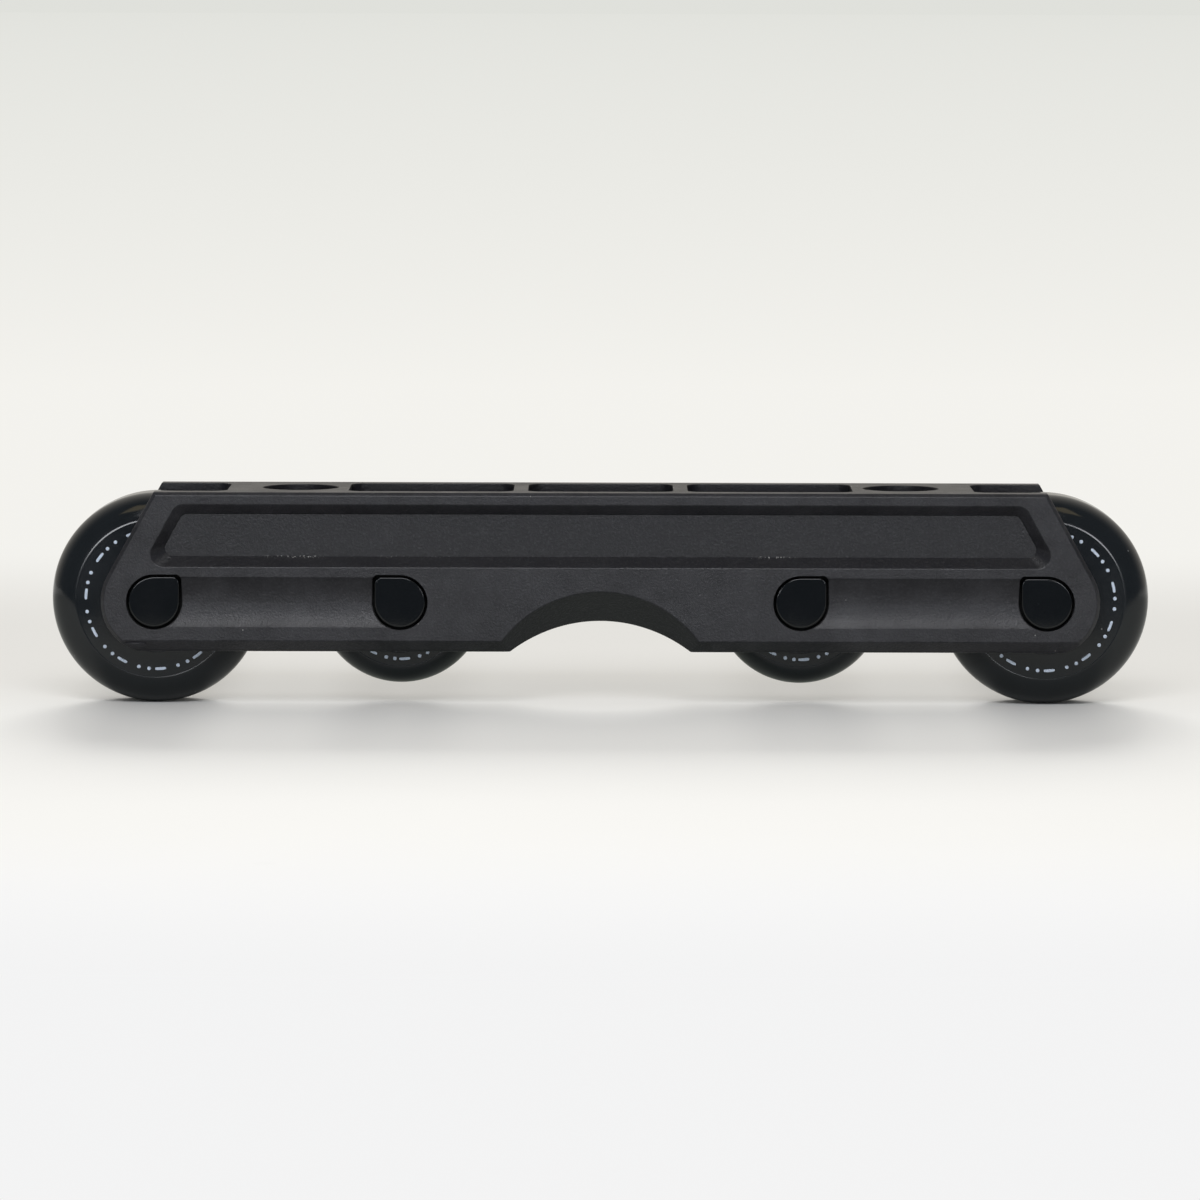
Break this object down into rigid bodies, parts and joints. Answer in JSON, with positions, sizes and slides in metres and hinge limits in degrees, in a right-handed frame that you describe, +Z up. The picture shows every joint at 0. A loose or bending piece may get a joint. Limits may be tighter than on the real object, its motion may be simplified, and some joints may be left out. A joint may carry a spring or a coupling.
{
  "type": "inline skate frame",
  "caption": "One-piece moulded aggressive inline skate frame with large outer wheels, small raised anti-rocker wheels, a central grind groove and keyed axles.",
  "frame": {"origin": "on the ground midway between the two outer wheels, on the skate's centre plane", "axes": "+X along the skate, +Y across it from the keyed axle heads to the axle screws, +Z up to the boot"},
  "size_m": [0.303, 0.04, 0.0592],
  "materials": {
    "frame_nylon": "moulded satin black nylon",
    "urethane": "glossy cast black urethane",
    "hub_nylon": "moulded black nylon",
    "ring_steel": "ground bearing steel",
    "ball_steel": "polished bearing steel",
    "cage_nylon": "moulded amber nylon",
    "shield_steel": "pressed steel",
    "spacer_aluminium": "turned aluminium",
    "axle_black": "satin black coated steel",
    "screw_black": "black oxide steel"
  },
  "bodies": {
    "chassis": {"frame": "frame_nylon", "rear_axle": "axle_black", "rear_axle_screw": "screw_black", "rear_bearing_spacer": "spacer_aluminium", "rear_bearing_inner_rings": "ring_steel", "rear_antirocker_axle": "axle_black", "rear_antirocker_axle_screw": "screw_black", "rear_antirocker_bearing_spacer": "spacer_aluminium", "rear_antirocker_bearing_inner_rings": "ring_steel", "front_antirocker_axle": "axle_black", "front_antirocker_axle_screw": "screw_black", "front_antirocker_bearing_spacer": "spacer_aluminium", "front_antirocker_bearing_inner_rings": "ring_steel", "front_axle": "axle_black", "front_axle_screw": "screw_black", "front_bearing_spacer": "spacer_aluminium", "front_bearing_inner_rings": "ring_steel"},
    "rear_wheel": {"rear_tyre": "urethane", "rear_hub": "hub_nylon", "rear_bearing_outer_rings": "ring_steel", "rear_bearing_shields": "shield_steel"},
    "rear_ball_sets": {"rear_bearing_balls": "ball_steel", "rear_bearing_cages": "cage_nylon"},
    "rear_antirocker_wheel": {"rear_antirocker_tyre": "urethane", "rear_antirocker_hub": "hub_nylon", "rear_antirocker_bearing_outer_rings": "ring_steel", "rear_antirocker_bearing_shields": "shield_steel"},
    "rear_antirocker_ball_sets": {"rear_antirocker_bearing_balls": "ball_steel", "rear_antirocker_bearing_cages": "cage_nylon"},
    "front_antirocker_wheel": {"front_antirocker_tyre": "urethane", "front_antirocker_hub": "hub_nylon", "front_antirocker_bearing_outer_rings": "ring_steel", "front_antirocker_bearing_shields": "shield_steel"},
    "front_antirocker_ball_sets": {"front_antirocker_bearing_balls": "ball_steel", "front_antirocker_bearing_cages": "cage_nylon"},
    "front_wheel": {"front_tyre": "urethane", "front_hub": "hub_nylon", "front_bearing_outer_rings": "ring_steel", "front_bearing_shields": "shield_steel"},
    "front_ball_sets": {"front_bearing_balls": "ball_steel", "front_bearing_cages": "cage_nylon"}
  },
  "joints": [
    {"name": "rear_wheel_spin", "type": "hinge", "parent": "chassis", "child": "rear_wheel", "pos_m": [-0.1225, 0, 0.029], "axis": [0, 1, 0], "continuous": true},
    {"name": "rear_balls_roll", "type": "hinge", "parent": "chassis", "child": "rear_ball_sets", "pos_m": [-0.1225, 0, 0.029], "axis": [0, 1, 0], "continuous": true},
    {"name": "rear_antirocker_wheel_spin", "type": "hinge", "parent": "chassis", "child": "rear_antirocker_wheel", "pos_m": [-0.055, 0, 0.029], "axis": [0, 1, 0], "continuous": true},
    {"name": "rear_antirocker_balls_roll", "type": "hinge", "parent": "chassis", "child": "rear_antirocker_ball_sets", "pos_m": [-0.055, 0, 0.029], "axis": [0, 1, 0], "continuous": true},
    {"name": "front_antirocker_wheel_spin", "type": "hinge", "parent": "chassis", "child": "front_antirocker_wheel", "pos_m": [0.055, 0, 0.029], "axis": [0, 1, 0], "continuous": true},
    {"name": "front_antirocker_balls_roll", "type": "hinge", "parent": "chassis", "child": "front_antirocker_ball_sets", "pos_m": [0.055, 0, 0.029], "axis": [0, 1, 0], "continuous": true},
    {"name": "front_wheel_spin", "type": "hinge", "parent": "chassis", "child": "front_wheel", "pos_m": [0.1225, 0, 0.029], "axis": [0, 1, 0], "continuous": true},
    {"name": "front_balls_roll", "type": "hinge", "parent": "chassis", "child": "front_ball_sets", "pos_m": [0.1225, 0, 0.029], "axis": [0, 1, 0], "continuous": true}
  ],
  "couplings": [
    {"joint": "rear_balls_roll", "follows": "rear_wheel_spin", "ratio": 0.63233},
    {"joint": "rear_antirocker_balls_roll", "follows": "rear_antirocker_wheel_spin", "ratio": 0.63233},
    {"joint": "front_antirocker_balls_roll", "follows": "front_antirocker_wheel_spin", "ratio": 0.63233},
    {"joint": "front_balls_roll", "follows": "front_wheel_spin", "ratio": 0.63233}
  ]
}
